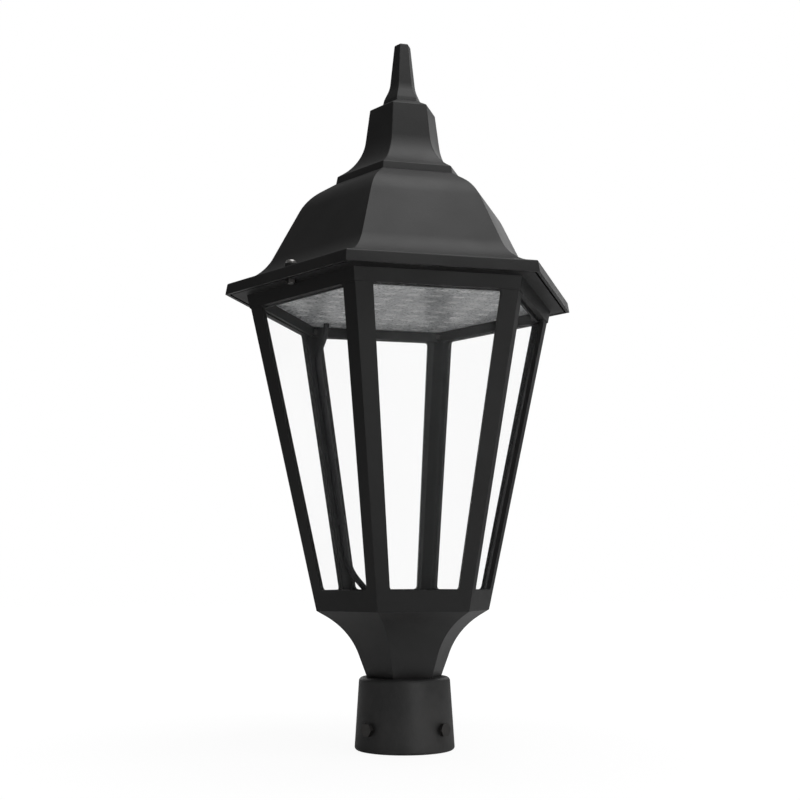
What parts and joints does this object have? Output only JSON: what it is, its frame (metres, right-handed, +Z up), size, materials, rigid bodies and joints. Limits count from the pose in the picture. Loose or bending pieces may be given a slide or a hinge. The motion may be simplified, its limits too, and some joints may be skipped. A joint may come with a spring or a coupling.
{
  "type": "post top lantern",
  "caption": "Six-sided post top lantern with clear panes, a hinged bell roof, a stepped cap with a spire, and a round collar with clamp screws.",
  "frame": {"origin": "centre of the collar's bottom face, at the mouth of the post socket", "axes": "+Z up along the post; -Y is the flat front face; corners at azimuth 0, 60 and so on"},
  "size_m": [0.343, 0.297, 0.682],
  "materials": {
    "black_casting": "satin black powder coat on cast aluminium",
    "black_sheet": "satin black paint on sheet steel",
    "bare_aluminium": "bare sheet",
    "plated_steel": "zinc plated",
    "black_steel": "black oxide",
    "clear_pane": "clear",
    "frosted_lens": "hammered translucent acrylic",
    "black_rubber": "matte",
    "white_board": "white solder mask",
    "led_chip": "phosphor dome, unlit",
    "plain_plastic": "moulded",
    "driver_case": "moulded",
    "cable_jacket": "round jacket"
  },
  "bodies": {
    "lantern": {"collar": "black_casting", "bowl": "black_casting", "collar_bolts": "plated_steel", "bottom_ring": "black_casting", "base_plate": "black_sheet", "bowl_screws": "plated_steel", "post_screws_lower": "plated_steel", "post_screws_upper": "plated_steel", "corner_post_1": "black_casting", "corner_post_2": "black_casting", "corner_post_3": "black_casting", "corner_post_4": "black_casting", "corner_post_5": "black_casting", "corner_post_6": "black_casting", "pane_1": "clear_pane", "pane_2": "clear_pane", "pane_3": "clear_pane", "pane_4": "clear_pane", "pane_5": "clear_pane", "pane_6": "clear_pane", "top_ring": "black_casting", "lens": "frosted_lens", "lens_gasket": "black_rubber", "light_tray": "bare_aluminium", "tray_screws": "plated_steel", "led_board": "white_board", "board_spacers": "plain_plastic", "led_chips": "led_chip", "led_driver": "driver_case", "driver_screws": "plated_steel", "terminal_block": "plain_plastic", "block_screws": "plated_steel", "driver_lead": "cable_jacket", "led_lead": "cable_jacket", "supply_cable": "cable_jacket", "cable_grommet_base": "black_rubber", "cable_grommet_upper": "black_rubber", "cable_grommet_lower": "black_rubber", "cable_clips": "plain_plastic", "latch_nut": "plated_steel", "hinge_frame_leaf": "black_sheet", "hinge_pin": "plated_steel", "hinge_frame_screws": "plated_steel"},
    "roof_assembly": {"roof": "black_casting", "roof_gasket": "black_rubber", "roof_cap": "black_casting", "finial": "black_casting", "tie_rod": "plated_steel", "tie_washer": "plated_steel", "tie_nut": "plated_steel", "hinge_roof_leaf": "black_sheet", "hinge_roof_screws": "plated_steel"},
    "latch_screw": {"latch_screw": "plated_steel"},
    "set_screw_1": {"set_screw_1": "black_steel"},
    "set_screw_2": {"set_screw_2": "black_steel"},
    "set_screw_3": {"set_screw_3": "black_steel"},
    "set_screw_4": {"set_screw_4": "black_steel"}
  },
  "joints": [
    {"name": "roof_hinge", "type": "hinge", "parent": "lantern", "child": "roof_assembly", "pos_m": [0.13198, 0.0762, 0.4176], "axis": [-0.5, 0.866, 0], "range_deg": [0, 95]},
    {"name": "latch_slide", "type": "slide", "parent": "roof_assembly", "child": "latch_screw", "axis": [0, 0, 1], "range_m": [0, 0.01]},
    {"name": "set_screw_1_in", "type": "slide", "parent": "lantern", "child": "set_screw_1", "axis": [-0.8387, -0.5446, 0], "range_m": [0, 0.0018]},
    {"name": "set_screw_2_in", "type": "slide", "parent": "lantern", "child": "set_screw_2", "axis": [0.5446, -0.8387, 0], "range_m": [0, 0.0018]},
    {"name": "set_screw_3_in", "type": "slide", "parent": "lantern", "child": "set_screw_3", "axis": [0.8387, 0.5446, 0], "range_m": [0, 0.0018]},
    {"name": "set_screw_4_in", "type": "slide", "parent": "lantern", "child": "set_screw_4", "axis": [-0.5446, 0.8387, 0], "range_m": [0, 0.0018]}
  ]
}
